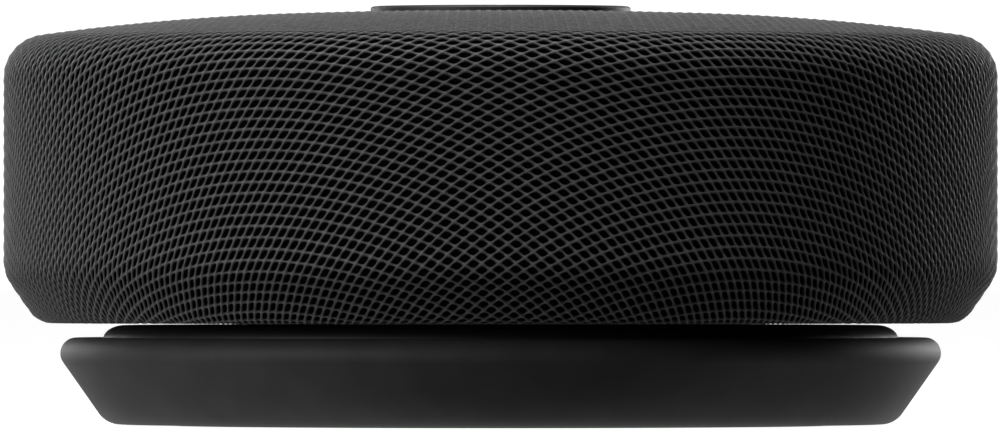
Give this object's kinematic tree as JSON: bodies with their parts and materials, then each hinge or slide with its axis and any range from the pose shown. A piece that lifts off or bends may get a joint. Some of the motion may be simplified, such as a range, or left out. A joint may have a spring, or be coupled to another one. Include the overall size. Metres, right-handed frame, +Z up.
{
  "type": "conference speakerphone",
  "caption": "Low round puck-shaped conference speakerphone: fabric-covered body with a raised key disc on top, standing on a tray-shaped base with a rubber foot and a rear USB-C socket.",
  "frame": {"origin": "centre of the underside, at the table", "axes": "+Z up through the control disc, -Y towards the front, +Y towards the USB-C socket, +X to the right seen from the front"},
  "size_m": [0.116, 0.116, 0.049],
  "materials": {
    "fabric": "open knitted mesh, charcoal",
    "shell_plastic": "fine moulded texture",
    "disc_plastic": "satin",
    "key_plastic": "satin",
    "light_plastic": "translucent, unlit",
    "tray_plastic": "soft-touch",
    "deck_plastic": "satin",
    "foot_rubber": "matte",
    "seal_rubber": "matte",
    "plated_steel": "zinc plated",
    "screw_steel": "zinc plated",
    "socket_steel": "bright drawn shell",
    "ferrite": "sintered",
    "copper_wire": "enamelled copper",
    "cone_paper": "pressed paper",
    "spider_cloth": "resin-dipped cloth",
    "circuit_board": "green solder mask",
    "chip_epoxy": "moulded epoxy",
    "connector_plastic": "moulded",
    "flex_film": "polyimide film"
  },
  "bodies": {
    "housing": {"fabric_cover": "fabric", "grille_shell": "shell_plastic", "body_floor": "shell_plastic", "enclosure_tub": "shell_plastic", "speaker_baffle": "shell_plastic", "enclosure_seal": "seal_rubber", "driver_yoke": "plated_steel", "driver_magnet": "ferrite", "driver_top_plate": "plated_steel", "driver_basket": "plated_steel", "driver_gasket": "seal_rubber", "driver_surround": "seal_rubber", "driver_spider": "spider_cloth", "control_bezel": "disc_plastic", "status_light_guide": "light_plastic", "status_led": "light_plastic", "control_housing": "shell_plastic", "control_board": "circuit_board", "key_mat": "seal_rubber", "microphone_boot_left": "seal_rubber", "microphone_boot_right": "seal_rubber", "microphone_capsule_left": "plated_steel", "microphone_capsule_right": "plated_steel", "base_tray": "tray_plastic", "base_deck": "deck_plastic", "neck_collar": "deck_plastic", "neck_lock_ring": "plated_steel", "foot_ring": "foot_rubber", "main_board": "circuit_board", "processor_chip": "chip_epoxy", "shield_can": "plated_steel", "amplifier_chip": "chip_epoxy", "cable_connector": "connector_plastic", "usb_c_shell": "socket_steel", "usb_c_tongue": "connector_plastic", "flat_flex_cable": "flex_film", "base_screw_1": "screw_steel", "base_screw_2": "screw_steel", "base_screw_3": "screw_steel", "base_screw_4": "screw_steel", "body_screw_1": "screw_steel", "body_screw_2": "screw_steel", "body_screw_3": "screw_steel", "body_screw_4": "screw_steel", "baffle_screw_1": "screw_steel", "baffle_screw_2": "screw_steel", "baffle_screw_3": "screw_steel", "baffle_screw_4": "screw_steel"},
    "cone_assembly": {"voice_coil": "copper_wire", "driver_cone": "cone_paper", "dust_cap": "cone_paper"},
    "mute_key": {"mute_key": "key_plastic"},
    "volume_up_key": {"volume_up_key": "key_plastic"},
    "call_key": {"call_key": "key_plastic"},
    "volume_down_key": {"volume_down_key": "key_plastic"},
    "hang_up_key": {"hang_up_key": "key_plastic"}
  },
  "joints": [
    {"name": "mute_key_press", "type": "slide", "parent": "housing", "child": "mute_key", "axis": [0, 0, -1], "range_m": [0, 0.00035], "stiffness_N_per_m": 2000, "springref_m": -0.0002},
    {"name": "volume_up_key_press", "type": "slide", "parent": "housing", "child": "volume_up_key", "axis": [0, 0, -1], "range_m": [0, 0.00035], "stiffness_N_per_m": 2000, "springref_m": -0.0002},
    {"name": "call_key_press", "type": "slide", "parent": "housing", "child": "call_key", "axis": [0, 0, -1], "range_m": [0, 0.00035], "stiffness_N_per_m": 2000, "springref_m": -0.0002},
    {"name": "volume_down_key_press", "type": "slide", "parent": "housing", "child": "volume_down_key", "axis": [0, 0, -1], "range_m": [0, 0.00035], "stiffness_N_per_m": 2000, "springref_m": -0.0002},
    {"name": "hang_up_key_press", "type": "slide", "parent": "housing", "child": "hang_up_key", "axis": [0, 0, -1], "range_m": [0, 0.00035], "stiffness_N_per_m": 2000, "springref_m": -0.0002},
    {"name": "cone_travel", "type": "slide", "parent": "housing", "child": "cone_assembly", "axis": [0, 0, 1], "range_m": [-0.0015, 0.0015], "stiffness_N_per_m": 1100, "deforming": ["driver_surround", "driver_spider"]}
  ]
}
